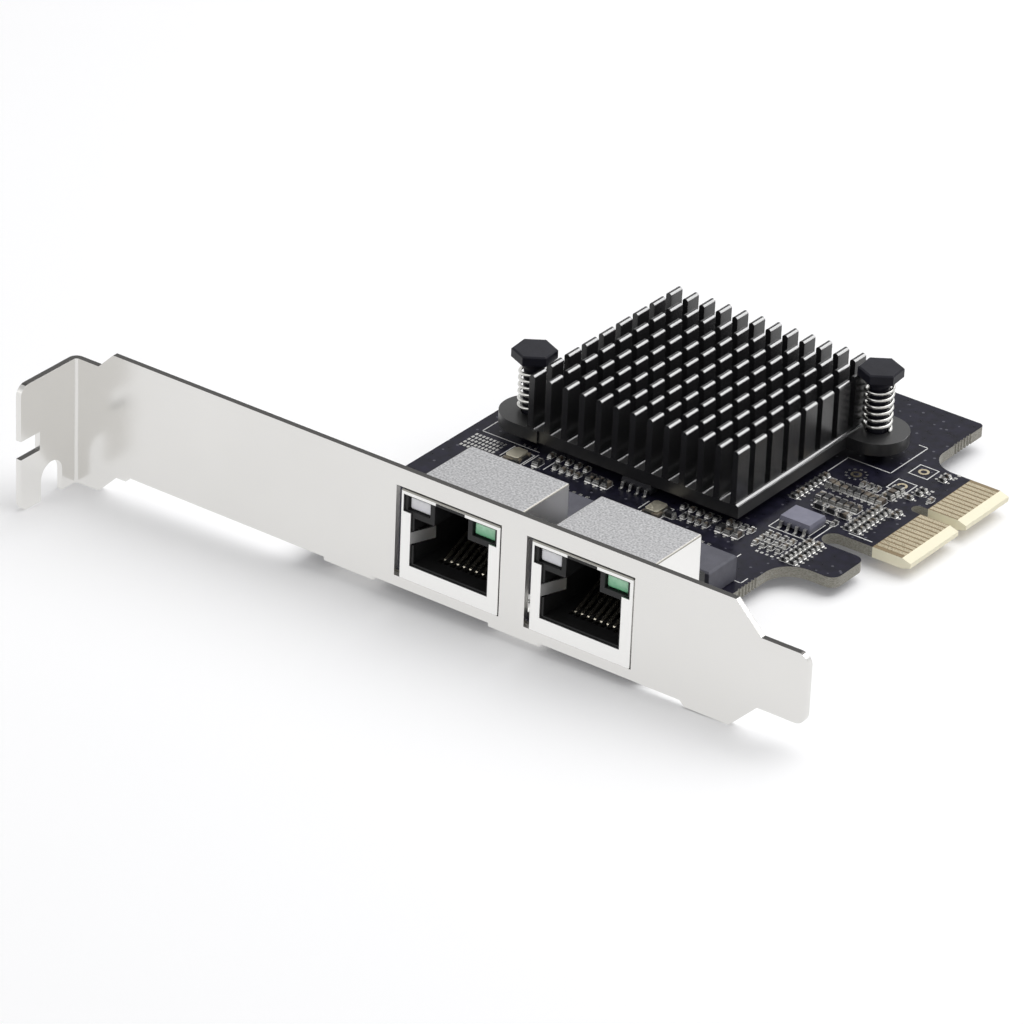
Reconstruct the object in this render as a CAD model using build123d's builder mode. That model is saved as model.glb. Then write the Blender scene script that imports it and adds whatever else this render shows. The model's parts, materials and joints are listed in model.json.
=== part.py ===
from build123d import *
import math
import os

os.makedirs("parts", exist_ok=True)

# A dual port network card. The origin is the middle of the bracket's screw slot, on the outer
# surface of its flange. +X runs along the bracket to its tip, +Y back over the board, and +Z
# up from the board's component side. All sizes are in millimetres.

# Folded sheet bracket
sheet = 0.86
bracket_length = 120.02
bracket_width = 18.42
face_y = 5.1
flange_width = 19.05
flange_drop = 3.15
flange_depth = 11.43
neck_length = 4.75
shoulder_x = 112.75
tip_width = 10.19
slot_radius = 2.21
notch_low = 4.9
notch_height = 2.8
notch_depth = 3.9
edge_recess = 0.75
recess_start = 9.6
recess_end = 101.0
bend_radius = 0.5
outer_bend = 1.27
bracket_corner = 1.6

# Bracket feet under the board, and their screws
foot_width = 8.0
foot_length = 7.2
foot_left_x = 47.5
foot_screw_y = 4.0
screw_radius = 1.25
screw_head_radius = 2.2
screw_head_height = 1.3
screw_head_edge = 0.4
screw_recess = 0.7
screw_hole = 1.4

# Circuit board outline, with its hook and its edge connector
board_thickness = 1.57
board_gap = 0.35
board_left = 38.4
board_right = 92.3
board_back = 90.6
board_corner = 0.8
port_margin = 1.2
port_side_length = 17.0
hook_start = 41.2
hook_end = 48.55
hook_tip = 100.5
hook_corner = 1.5
slot_end = 92.7
tongue_start = 51.85
tongue_tip = 105.5
inner_corner = 4.2
end_flat = 0.03
contact_pitch = 1.0
contact_width = 0.7
outer_margin = 1.1
inner_margin = 0.55
near_count = 11
far_count = 10
key_width = 1.9
key_end = 97.5
finger_start = 99.5
bevel_length = 1.4
bevel_depth = 0.45
plating = 0.04
break_radius = 0.2
break_pitch = 0.75
break_count = 6
break_near_y = 31.0
break_far_y = 83.2

# Shielded sockets
port_x = 56.0
port_pitch = 21.08
port_width = 16.0
port_height = 13.2
port_depth = 15.3
port_stand = 0.2
shield_wall = 0.25
cutout_side = 0.9
cutout_gap = 0.15
frame_half = 6.33
frame_low = 2.2
frame_high = 10.0
window_half = 7.55
window_inner = 2.3
window_high = 12.55
latch_half = 2.35
spring_root_low = 5.4
spring_width = 1.75
spring_reach = 3.7
spring_bend = 1.5
spring_sheet = 0.2
spring_room = 0.2
leg_width = 1.2
leg_length = 2.3
leg_y = 12.0
leg_gap = 0.15

# Socket inserts, contact wires and light pipes
insert_gap = 0.05
insert_setback = 0.1
insert_tail = 1.6
insert_tail_height = 6.8
plug_half = 5.95
plug_low = 2.5
plug_high = 9.3
plug_depth = 12.3
latch_cavity_half = 2.7
latch_high = 12.3
peg_radius = 1.6
peg_offset = 5.72
peg_y = 9.3
peg_length = 2.2
hole_gap = 0.1
wire_count = 8
wire_pitch = 1.02
wire_width = 0.45
wire_thickness = 0.3
wire_tip_y = 3.2
wire_floor = 1.7
wire_end_y = 11.0
wire_end_z = 5.2
wire_rear_y = 13.6
tail_step = 1.3
tail_length = 2.3
tail_hole = 0.4
light_inner = 3.45
light_width = 3.55
light_low = 10.2
light_height = 2.0
light_depth = 9.0
light_setback = 0.35
light_gap = 0.05
light_corner = 0.4
light_edge = 0.25

# Pin fin heat sink over the controller
sink_x = 65.3
sink_y = 61.35
sink_width = 35.3
sink_length = 34.75
sink_gap = 1.65
base_thickness = 1.8
fin_count = 13
fin_thickness = 0.9
fin_ledge = 0.45
fin_height = 8.07
fin_root = 0.4
row_count = 9
pin_length = 2.7
ear_radius = 4.6
ear_x = 19.55
ear_y = 13.1
ear_hole = 1.6
chip_side = 23.0
chip_height = 1.35
chip_cap_side = 21.0
chip_substrate = 0.5
chip_cap_edge = 0.28
pad_side = 19.6

# Push pins and their springs
shank_radius = 1.4
head_radius = 3.2
head_gap = 0.1
head_height = 1.4
head_edge = 0.2
head_turn = 35
collar_radius = 2.2
collar_taper = 0.25
collar_height = 0.9
barb_radius = 1.75
barb_length = 2.2
barb_land = 0.7
barb_tip = 0.7
barb_slot = 0.7
spring_wire = 0.25
spring_radius = 1.9
spring_sides = 8
spring_turns = 6.5
seat_gap = 0.02

# Eight lead chips
lead_pitch = 1.27
lead_count = 4
lead_width = 0.42
lead_thickness = 0.2
lead_reach = 1.05
lead_foot = 0.6
chip_length = 4.9
chip_width = 3.9
chip_body = 1.35
chip_lift = 0.15
chip_draft = 0.12
chip_slope = 0.54
flash_x = 66.4
flash_y = 45.9
power_x = 88.9
power_y = 50.7

# Line transformers behind the sockets
transformer_width = 15.0
transformer_length = 6.4
transformer_height = 3.7
transformer_y = 29.4
transformer_shift = -2.0
transformer_lead_count = 10
transformer_edge = 0.25

# Crystals, capacitors and resistors
crystal_length = 3.2
crystal_width = 2.5
crystal_base = 0.45
crystal_lid = 0.35
crystal_y = 41.2
crystal_x = 48.5
crystal_pitch = 23.2
small_length = 1.0
small_width = 0.5
small_height = 0.5
large_length = 1.6
large_width = 0.8
large_height = 0.7
terminal = 0.25

# Plated holes on the board
via_radius = 0.45
via_ring = 0.35
via_places = ((86.6, 67.2), (93.2, 68.4), (93.3, 73.7))

# How far from a line its edges are looked for
line_slack = 0.01

# Places worked out from the sizes above
board_bottom = sheet
board_top = board_bottom + board_thickness
board_front = face_y + sheet + board_gap
tip_low = (bracket_width - tip_width) / 2
tip_high = tip_low + tip_width
flange_top = flange_width - flange_drop
near_length = (near_count - 1) * contact_pitch + outer_margin + inner_margin
far_length = (far_count - 1) * contact_pitch + outer_margin + inner_margin
key_start = tongue_start + near_length
far_start = key_start + key_width
tongue_end = far_start + far_length
port_front = face_y - port_stand
port_back = port_front + port_depth
port_lefts = {"left": port_x, "right": port_x + port_pitch}
ports_right = port_x + port_pitch + port_width
foot_xs = (foot_left_x, port_x + (port_pitch + port_width) / 2)
sink_bottom = board_top + sink_gap
ear_top = sink_bottom + base_thickness
pin_places = {
    "left": (sink_x - ear_x, sink_y - ear_y),
    "right": (sink_x + ear_x, sink_y + ear_y),
}
fin_pitch = (sink_width - 2 * fin_ledge - fin_thickness) / (fin_count - 1)
row_pitch = (sink_length - pin_length) / (row_count - 1)
crystal_places = [(crystal_x, crystal_y), (crystal_x + crystal_pitch, crystal_y)]
transformer_middles = [left + port_width / 2 + transformer_shift for left in port_lefts.values()]


def wire_place(number):
    """Distance of a contact wire from the middle of its socket."""
    return (number - (wire_count - 1) / 2) * wire_pitch


def tail_y(number):
    """The contact tails stand in two staggered rows."""
    return port_front + wire_rear_y + (number % 2) * -tail_step


def corner(outline, x, y):
    """The vertex of an outline that lies nearest to a place."""
    return outline.vertices().sort_by_distance((x, y, 0))[0]


def edges_near(edges, axis, place):
    """The edges that lie on a line across an axis."""
    return edges.filter_by_position(axis, place - line_slack, place + line_slack)


# Bracket: face, flange, feet and socket openings folded from one sheet
with BuildPart() as bracket:
    with BuildSketch(Plane.XZ.offset(-face_y)) as face_outline:
        with BuildLine():
            Polyline(
                (0, -flange_drop),
                (neck_length, -flange_drop),
                (neck_length + flange_drop, 0),
                (recess_start, 0),
                (recess_start, edge_recess),
                (recess_end, edge_recess),
                (recess_end + edge_recess, 0),
                (shoulder_x - tip_low, 0),
                (shoulder_x, tip_low),
                (bracket_length, tip_low),
                (bracket_length, tip_high),
                (shoulder_x, tip_high),
                (shoulder_x - tip_low, bracket_width),
                (neck_length + bracket_width - flange_top, bracket_width),
                (neck_length, flange_top),
                (0, flange_top),
                close=True,
            )
        make_face()
        tip_corners = face_outline.vertices().sort_by(Axis.X)[-2:]
        fillet(tip_corners, bracket_corner)
        for left in port_lefts.values():
            with Locations((left - cutout_side, board_top - cutout_gap)):
                Rectangle(
                    port_width + cutout_side + cutout_gap,
                    port_height + 2 * cutout_gap,
                    align=(Align.MIN, Align.MIN),
                    mode=Mode.SUBTRACT,
                )
    extrude(amount=-sheet)
    with BuildSketch(Plane.YZ) as flange_outline:
        with BuildLine():
            Polyline(
                (face_y + sheet, -flange_drop),
                (face_y + sheet, flange_top),
                (face_y - flange_depth, flange_top),
                (face_y - flange_depth, -flange_drop),
                close=True,
            )
        make_face()
        free_corners = flange_outline.vertices().sort_by(Axis.X)[:2]
        fillet(free_corners, bracket_corner)
        with Locations((face_y - flange_depth, notch_low)):
            Rectangle(
                notch_depth,
                notch_height,
                align=(Align.MIN, Align.MIN),
                mode=Mode.SUBTRACT,
            )
        Circle(slot_radius, mode=Mode.SUBTRACT)
        Rectangle(
            2 * slot_radius,
            2 * flange_drop,
            align=(Align.CENTER, Align.MAX),
            mode=Mode.SUBTRACT,
        )
    extrude(amount=sheet)
    inner_bend = edges_near(bracket.edges().filter_by(Axis.Z), Axis.X, sheet)
    fillet(edges_near(inner_bend, Axis.Y, face_y), bend_radius)
    outer_edges = edges_near(bracket.edges().filter_by(Axis.Z), Axis.X, 0)
    fillet(edges_near(outer_edges, Axis.Y, face_y + sheet), outer_bend)
    for foot_x in foot_xs:
        with BuildSketch(Plane.XY) as foot_outline:
            with Locations((foot_x, face_y)):
                Rectangle(foot_width, foot_length, align=(Align.CENTER, Align.MIN))
            fillet(foot_outline.vertices().sort_by(Axis.Y)[-2:], bracket_corner)
            with Locations((foot_x, face_y + foot_screw_y)):
                Circle(screw_radius, mode=Mode.SUBTRACT)
        extrude(amount=sheet)
        low_edges = edges_near(bracket.edges().filter_by(Axis.X), Axis.Z, 0)
        fold_edges = edges_near(low_edges, Axis.Y, face_y)
        foot_ends = (foot_x - foot_width / 2, foot_x + foot_width / 2)
        fillet(fold_edges.filter_by_position(Axis.X, *foot_ends), bend_radius)
bracket.part.label = "bracket"
export_step(bracket.part, "parts/bracket.step")

# Screws from the board down into the bracket's feet
with BuildPart() as bracket_screws:
    for foot_x in foot_xs:
        with BuildSketch(Plane.XY.offset(board_top)):
            with Locations((foot_x, face_y + foot_screw_y)):
                Circle(screw_head_radius)
        extrude(amount=screw_head_height)
        with BuildSketch(Plane.XY):
            with Locations((foot_x, face_y + foot_screw_y)):
                Circle(screw_radius)
        extrude(amount=board_top)
        with BuildSketch(Plane.XY.offset(board_top + screw_head_height)):
            with Locations((foot_x, face_y + foot_screw_y)):
                Rectangle(2 * screw_recess, screw_recess / 2)
                Rectangle(screw_recess / 2, 2 * screw_recess)
        extrude(amount=-screw_recess, mode=Mode.SUBTRACT)
    head_rims = bracket_screws.edges().filter_by(GeomType.CIRCLE).group_by(Axis.Z)[-1]
    chamfer(head_rims, screw_head_edge)
bracket_screws.part.label = "bracket_screws"
export_step(bracket_screws.part, "parts/bracket_screws.step")

# Circuit board with its hook, its keyed edge connector and its holes
with BuildPart() as circuit_board:
    with BuildSketch(Plane.XY.offset(board_bottom)) as board_outline:
        with BuildLine():
            Polyline(
                (board_left, board_front),
                (ports_right + port_margin, board_front),
                (ports_right + port_margin, board_front + port_side_length),
                (board_right, board_front + port_side_length),
                (board_right, hook_start),
                (hook_tip, hook_start),
                (hook_tip, hook_end),
                (slot_end, hook_end),
                (slot_end, tongue_start),
                (tongue_tip, tongue_start),
                (tongue_tip, key_start),
                (key_end, key_start),
                (key_end, far_start),
                (tongue_tip, far_start),
                (tongue_tip, tongue_end),
                (board_right, tongue_end),
                (board_right, board_back),
                (board_left, board_back),
                close=True,
            )
        make_face()
        root_corners = ((board_right, hook_start), (board_right, tongue_end))
        hook_corners = ((hook_tip, hook_start), (hook_tip, hook_end))
        slot_corners = ((slot_end, hook_end), (slot_end, tongue_start))
        key_corners = ((key_end, key_start), (key_end, far_start))
        free_corners = (
            (board_right, board_back),
            (board_left, board_back),
            (ports_right + port_margin, board_front),
            (ports_right + port_margin, board_front + port_side_length),
        )
        for places, radius in (
            (root_corners, inner_corner),
            (hook_corners, hook_corner),
            (slot_corners, (tongue_start - hook_end) / 2 - end_flat),
            (key_corners, key_width / 2 - end_flat),
            (free_corners, board_corner),
        ):
            fillet([corner(board_outline, x, y) for x, y in places], radius)
        for first_y in (break_near_y, break_far_y):
            for number in range(break_count):
                with Locations((board_right, first_y + number * break_pitch)):
                    Circle(break_radius, mode=Mode.SUBTRACT)
        with Locations(*pin_places.values()):
            Circle(ear_hole, mode=Mode.SUBTRACT)
        with Locations(*[(foot_x, face_y + foot_screw_y) for foot_x in foot_xs]):
            Circle(screw_hole, mode=Mode.SUBTRACT)
        for left in port_lefts.values():
            middle = left + port_width / 2
            with Locations(
                (middle - peg_offset, port_front + peg_y), (middle + peg_offset, port_front + peg_y)
            ):
                Circle(peg_radius + hole_gap, mode=Mode.SUBTRACT)
            leg_shift = (port_width - shield_wall) / 2
            with Locations(
                (middle - leg_shift, port_front + leg_y),
                (middle + leg_shift, port_front + leg_y),
            ):
                Rectangle(
                    shield_wall + 2 * leg_gap,
                    leg_width + 2 * leg_gap,
                    mode=Mode.SUBTRACT,
                )
            for number in range(wire_count):
                with Locations((middle + wire_place(number), tail_y(number))):
                    Circle(tail_hole, mode=Mode.SUBTRACT)
    extrude(amount=board_thickness)
    with BuildSketch(Plane.XZ.offset(-tongue_start)):
        for level, side in ((board_bottom, 1), (board_top, -1)):
            with BuildLine():
                Polyline(
                    (tongue_tip - bevel_length, level),
                    (tongue_tip + bevel_length, level),
                    (tongue_tip + bevel_length, level + 2 * side * bevel_depth),
                    close=True,
                )
            make_face()
    extrude(amount=tongue_start - tongue_end, mode=Mode.SUBTRACT)
circuit_board.part.label = "circuit_board"
export_step(circuit_board.part, "parts/circuit_board.step")


def finger_rows():
    """The first contact's place and the count in each block of fingers."""
    return (
        (tongue_start + outer_margin, near_count),
        (far_start + inner_margin, far_count),
    )


# Gold contact fingers on both faces of the edge connector
for face_name, level, growth in (("top", board_top, plating), ("bottom", board_bottom, -plating)):
    with BuildPart() as fingers:
        with BuildSketch(Plane.XY.offset(level)):
            for first_y, count in finger_rows():
                for number in range(count):
                    with Locations((finger_start, first_y + number * contact_pitch)):
                        Rectangle(
                            tongue_tip - bevel_length - finger_start,
                            contact_width,
                            align=(Align.MIN, Align.CENTER),
                        )
        extrude(amount=growth)
    fingers.part.label = f"edge_contacts_{face_name}"
    export_step(fingers.part, f"parts/edge_contacts_{face_name}.step")

# Sockets: folded shield, moulded insert, contact wires and two light pipes each
for side, left in port_lefts.items():
    middle = left + port_width / 2
    with BuildPart() as shield:
        with BuildSketch(Plane.XY.offset(board_top)):
            with Locations((middle, port_front)):
                Rectangle(port_width, port_depth, align=(Align.CENTER, Align.MIN))
        extrude(amount=port_height)
        upright_folds = shield.edges().filter_by(Axis.Z)
        top_rim = shield.faces().sort_by(Axis.Z)[-1].edges()
        fillet(upright_folds + top_rim, shield_wall)
        with BuildSketch(Plane.XY.offset(board_top)):
            with Locations((middle, port_front + shield_wall)):
                Rectangle(
                    port_width - 2 * shield_wall,
                    port_depth - 2 * shield_wall,
                    align=(Align.CENTER, Align.MIN),
                )
        extrude(amount=port_height - shield_wall, mode=Mode.SUBTRACT)
        with BuildSketch(Plane.XZ.offset(-port_front)):
            with Locations((middle, board_top + frame_low)):
                Rectangle(
                    2 * frame_half,
                    frame_high - frame_low,
                    align=(Align.CENTER, Align.MIN),
                )
            with Locations((middle, board_top + frame_high)):
                Rectangle(
                    2 * latch_half,
                    port_height - frame_high - shield_wall,
                    align=(Align.CENTER, Align.MIN),
                )
            for hand in (-1, 1):
                window_middle = middle + hand * (window_half + window_inner) / 2
                with Locations((window_middle, board_top + frame_high)):
                    Rectangle(
                        window_half - window_inner,
                        window_high - frame_high,
                        align=(Align.CENTER, Align.MIN),
                    )
        extrude(amount=-shield_wall, mode=Mode.SUBTRACT)
        with BuildSketch(Plane.XZ.offset(-(port_back - shield_wall))):
            with Locations((middle, board_top)):
                Rectangle(
                    port_width - 2 * shield_wall,
                    insert_tail_height,
                    align=(Align.CENTER, Align.MIN),
                )
        extrude(amount=-shield_wall, mode=Mode.SUBTRACT)
        with BuildSketch(Plane.XY.offset(board_top + spring_root_low)):
            for hand in (-1, 1):
                root_x = middle + hand * frame_half
                bent_x = root_x - hand * spring_bend
                with BuildLine():
                    Polyline(
                        (root_x + hand * spring_sheet, port_front),
                        (root_x, port_front),
                        (bent_x, port_front + spring_reach),
                        (bent_x + hand * spring_sheet, port_front + spring_reach + spring_sheet),
                        (root_x + hand * 2 * spring_sheet, port_front + shield_wall),
                        close=True,
                    )
                make_face()
        extrude(amount=spring_width)
        with BuildSketch(Plane.XY.offset(board_top)):
            leg_shift = (port_width - shield_wall) / 2
            leg_place = port_front + leg_y
            with Locations((middle - leg_shift, leg_place), (middle + leg_shift, leg_place)):
                Rectangle(shield_wall, leg_width)
        extrude(amount=-leg_length)
    shield.part.label = f"{side}_port_shield"
    export_step(shield.part, f"parts/{side}_port_shield.step")

    insert_front = port_front + shield_wall + insert_setback
    with BuildPart() as insert:
        with BuildSketch(Plane.XY.offset(board_top)):
            with Locations((middle, insert_front)):
                Rectangle(
                    port_width - 2 * shield_wall - 2 * insert_gap,
                    port_back - shield_wall - insert_gap - insert_front,
                    align=(Align.CENTER, Align.MIN),
                )
        extrude(amount=port_height - shield_wall - insert_gap)
        with BuildSketch(Plane.XY.offset(board_top)):
            with Locations((middle, insert_front)):
                Rectangle(
                    port_width - 2 * shield_wall - 2 * insert_gap,
                    port_back + insert_tail - insert_front,
                    align=(Align.CENTER, Align.MIN),
                )
        extrude(amount=insert_tail_height - insert_gap)
        with BuildSketch(Plane.XZ.offset(-insert_front)):
            with Locations((middle, board_top + plug_low)):
                Rectangle(2 * plug_half, plug_high - plug_low, align=(Align.CENTER, Align.MIN))
            with Locations((middle, board_top + plug_high)):
                Rectangle(
                    2 * latch_cavity_half,
                    latch_high - plug_high,
                    align=(Align.CENTER, Align.MIN),
                )
        extrude(amount=-plug_depth, mode=Mode.SUBTRACT)
        with BuildSketch(Plane.XZ.offset(-insert_front)):
            for hand in (-1, 1):
                relief = middle + hand * (frame_half + plug_half) / 2
                with Locations((relief, board_top + spring_root_low - spring_room)):
                    Rectangle(
                        frame_half - plug_half + 4 * spring_room,
                        spring_width + 2 * spring_room,
                        align=(Align.CENTER, Align.MIN),
                    )
        extrude(amount=-(spring_reach + spring_room), mode=Mode.SUBTRACT)
        with BuildSketch(Plane.XZ.offset(-insert_front)):
            for hand in (-1, 1):
                light_middle = middle + hand * (light_inner + light_width / 2)
                with Locations((light_middle, board_top + light_low - light_gap)):
                    Rectangle(
                        light_width + 2 * light_gap,
                        light_height + 2 * light_gap,
                        align=(Align.CENTER, Align.MIN),
                    )
        extrude(amount=-light_depth, mode=Mode.SUBTRACT)
        for number in range(wire_count):
            wire_x = middle + wire_place(number)
            groove = wire_width + 2 * hole_gap
            groove_front = port_front + wire_tip_y - wire_thickness
            with BuildSketch(Plane.YZ.offset(wire_x - groove / 2)):
                with Locations((groove_front, board_top + wire_floor - wire_thickness)):
                    Rectangle(
                        tail_y(number) - port_front - wire_tip_y + 2 * wire_thickness,
                        plug_low - wire_floor + 2 * wire_thickness,
                        align=(Align.MIN, Align.MIN),
                    )
            extrude(amount=groove, mode=Mode.SUBTRACT)
            with BuildSketch(Plane.XY.offset(board_top)):
                with Locations((wire_x, tail_y(number))):
                    Rectangle(groove, 2 * wire_thickness)
            extrude(amount=wire_floor, mode=Mode.SUBTRACT)
        with BuildSketch(Plane.XY.offset(board_top)):
            with Locations(
                (middle - peg_offset, port_front + peg_y), (middle + peg_offset, port_front + peg_y)
            ):
                Circle(peg_radius)
        extrude(amount=-peg_length)
    insert.part.label = f"{side}_port_insert"
    export_step(insert.part, f"parts/{side}_port_insert.step")

    with BuildPart() as wires:
        for number in range(wire_count):
            with BuildSketch(Plane.YZ.offset(middle + wire_place(number) - wire_width / 2)):
                with BuildLine():
                    FilletPolyline(
                        (port_front + wire_end_y, board_top + wire_end_z),
                        (port_front + wire_tip_y, board_top + wire_floor),
                        (tail_y(number), board_top + wire_floor),
                        (tail_y(number), board_top - tail_length),
                        radius=wire_thickness,
                    )
                trace(line_width=wire_thickness)
            extrude(amount=wire_width)
    wires.part.label = f"{side}_port_contacts"
    export_step(wires.part, f"parts/{side}_port_contacts.step")

    for hand, colour in ((-1, "clear"), (1, "green")):
        with BuildPart() as light:
            light_middle = middle + hand * (light_inner + light_width / 2)
            with BuildSketch(Plane.XZ.offset(-(insert_front + light_setback))) as light_face:
                with Locations((light_middle, board_top + light_low)):
                    Rectangle(light_width, light_height, align=(Align.CENTER, Align.MIN))
                fillet(light_face.vertices(), light_corner)
            extrude(amount=-(light_depth - light_setback - light_gap))
            chamfer(light.faces().sort_by(Axis.Y)[0].edges(), light_edge)
        light.part.label = f"{side}_port_{colour}_light"
        export_step(light.part, f"parts/{side}_port_{colour}_light.step")

# Controller under the heat sink, in its moulded package
with BuildPart() as controller_chip:
    with BuildSketch(Plane.XY.offset(board_top)):
        with Locations((sink_x, sink_y)):
            Rectangle(chip_side, chip_side)
    extrude(amount=chip_substrate)
    with BuildSketch(Plane.XY.offset(board_top + chip_substrate)):
        with Locations((sink_x, sink_y)):
            Rectangle(chip_cap_side, chip_cap_side)
    extrude(amount=chip_height - chip_substrate)
    cap_rim = controller_chip.faces().sort_by(Axis.Z)[-1].edges()
    chamfer(cap_rim, chip_cap_edge)
controller_chip.part.label = "controller_chip"
export_step(controller_chip.part, "parts/controller_chip.step")

with BuildPart() as thermal_pad:
    with BuildSketch(Plane.XY.offset(board_top + chip_height)):
        with Locations((sink_x, sink_y)):
            Rectangle(pad_side, pad_side)
    extrude(amount=sink_gap - chip_height)
thermal_pad.part.label = "thermal_pad"
export_step(thermal_pad.part, "parts/thermal_pad.step")

# Heat sink: an extruded comb of fins, sawn across into pins, with an ear at two corners
with BuildPart() as heat_sink:
    sink_left = sink_x - sink_width / 2
    sink_front = sink_y - sink_length / 2
    with BuildSketch(Plane.XZ.offset(-sink_front)) as comb:
        with BuildLine():
            outline = [(sink_left, sink_bottom), (sink_left, ear_top)]
            for number in range(fin_count):
                fin_left = sink_left + fin_ledge + number * fin_pitch
                outline += [
                    (fin_left, ear_top),
                    (fin_left, ear_top + fin_height),
                    (fin_left + fin_thickness, ear_top + fin_height),
                    (fin_left + fin_thickness, ear_top),
                ]
            outline += [(sink_left + sink_width, ear_top), (sink_left + sink_width, sink_bottom)]
            Polyline(*outline, close=True)
        make_face()
        tips = comb.vertices().group_by(Axis.Y)[-1]
        fillet(tips, fin_thickness / 2 - end_flat)
        roots = comb.vertices().group_by(Axis.Y)[1].sort_by(Axis.X)[1:-1]
        fillet(roots, fin_root)
    extrude(amount=-sink_length)
    for number in range(row_count - 1):
        with BuildSketch(Plane.XY.offset(ear_top + fin_root)):
            with Locations((sink_x, sink_front + pin_length + number * row_pitch)):
                Rectangle(
                    sink_width,
                    row_pitch - pin_length,
                    align=(Align.CENTER, Align.MIN),
                )
        extrude(amount=fin_height, mode=Mode.SUBTRACT)
    for hand in (-1, 1):
        ear_place = (sink_x + hand * ear_x, sink_y + hand * ear_y)
        with BuildSketch(Plane.XY.offset(sink_bottom)):
            with Locations(ear_place):
                Circle(ear_radius)
            inner_edge = sink_x + hand * (sink_width / 2 - ear_radius / 2)
            with Locations(((ear_place[0] + inner_edge) / 2, ear_place[1])):
                Rectangle(abs(ear_place[0] - inner_edge), 2 * ear_radius)
        extrude(amount=base_thickness)
        with BuildSketch(Plane.XY.offset(sink_bottom)):
            with Locations(ear_place):
                Circle(ear_hole)
        extrude(amount=base_thickness, mode=Mode.SUBTRACT)
heat_sink.part.label = "heat_sink"
export_step(heat_sink.part, "parts/heat_sink.step")

# Push pins through the ears, each with its spring
head_low = ear_top + fin_height + head_gap
for side, (pin_x, pin_y) in pin_places.items():
    with BuildPart() as push_pin:
        with BuildSketch(Plane.XY.offset(head_low)):
            with Locations((pin_x, pin_y)):
                RegularPolygon(head_radius, 6, rotation=head_turn)
        extrude(amount=head_height)
        head_rim = push_pin.faces().sort_by(Axis.Z)[-1].edges()
        chamfer(head_rim, head_edge)
        with BuildSketch(Plane.XZ.offset(-pin_y)):
            with BuildLine():
                Polyline(
                    (pin_x, head_low),
                    (pin_x + collar_radius, head_low),
                    (pin_x + collar_radius - collar_taper, head_low - collar_height),
                    (pin_x + shank_radius, head_low - collar_height),
                    (pin_x + shank_radius, board_bottom - seat_gap),
                    (pin_x + barb_radius, board_bottom - seat_gap),
                    (pin_x + barb_radius, board_bottom - barb_land),
                    (pin_x + barb_tip, board_bottom - barb_length),
                    (pin_x, board_bottom - barb_length),
                    close=True,
                )
            make_face()
        revolve(axis=Axis((pin_x, pin_y, 0), (0, 0, 1)))
        with BuildSketch(Plane.XY.offset(board_bottom - barb_length)):
            with Locations((pin_x, pin_y)):
                Rectangle(barb_slot, 2 * barb_radius)
        extrude(amount=barb_length + board_thickness, mode=Mode.SUBTRACT)
    push_pin.part.label = f"{side}_push_pin"
    export_step(push_pin.part, f"parts/{side}_push_pin.step")

    coil_low = ear_top + spring_wire + seat_gap
    coil_height = head_low - collar_height - ear_top - 2 * spring_wire - 2 * seat_gap
    with BuildPart() as pin_spring:
        with BuildLine() as coil:
            coil_rise = coil_height / spring_turns
            Helix(coil_rise, coil_height, spring_radius, center=(pin_x, pin_y, coil_low))
        with BuildSketch(Plane(origin=coil.line @ 0, z_dir=coil.line % 0)):
            RegularPolygon(spring_wire, spring_sides)
        sweep(is_frenet=True)
    pin_spring.part.label = f"{side}_pin_spring"
    export_step(pin_spring.part, f"parts/{side}_pin_spring.step")

# Eight lead chips: the memory in front of the heat sink and the power switch by the hook
for chip_name, chip_x, chip_y in (("memory", flash_x, flash_y), ("power", power_x, power_y)):
    body_low = board_top + chip_lift
    body_middle = body_low + chip_body / 2
    with BuildPart() as chip:
        with BuildSketch(Plane.XY.offset(body_low)):
            with Locations((chip_x, chip_y)):
                Rectangle(chip_length, chip_width)
        extrude(amount=chip_body)
        rims = chip.faces().filter_by(Axis.Z).edges()
        chamfer(rims, length=chip_slope, length2=chip_draft)
    chip.part.label = f"{chip_name}_chip"
    export_step(chip.part, f"parts/{chip_name}_chip.step")

    with BuildPart() as leads:
        for hand in (-1, 1):
            wall_y = chip_y + hand * chip_width / 2
            bend_y = wall_y + hand * (lead_reach - lead_foot)
            foot_y = wall_y + hand * lead_reach
            top = body_middle + lead_thickness / 2
            for number in range(lead_count):
                lead_x = chip_x + (number - (lead_count - 1) / 2) * lead_pitch
                with BuildSketch(Plane.YZ.offset(lead_x - lead_width / 2)):
                    with BuildLine():
                        Polyline(
                            (wall_y, top),
                            (bend_y, top),
                            (bend_y + hand * lead_thickness, board_top + lead_thickness),
                            (foot_y, board_top + lead_thickness),
                            (foot_y, board_top),
                            (bend_y, board_top),
                            (bend_y - hand * lead_thickness, top - lead_thickness),
                            (wall_y, top - lead_thickness),
                            close=True,
                        )
                    make_face()
                extrude(amount=lead_width)
    leads.part.label = f"{chip_name}_chip_leads"
    export_step(leads.part, f"parts/{chip_name}_chip_leads.step")

# Line transformers behind the sockets
with BuildPart() as transformers:
    for middle in transformer_middles:
        with BuildSketch(Plane.XY.offset(board_top + chip_lift)):
            with Locations((middle, transformer_y)):
                Rectangle(transformer_width, transformer_length)
        extrude(amount=transformer_height)
    chamfer(transformers.faces().group_by(Axis.Z)[-1].edges(), transformer_edge)
transformers.part.label = "line_transformers"
export_step(transformers.part, "parts/line_transformers.step")

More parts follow.
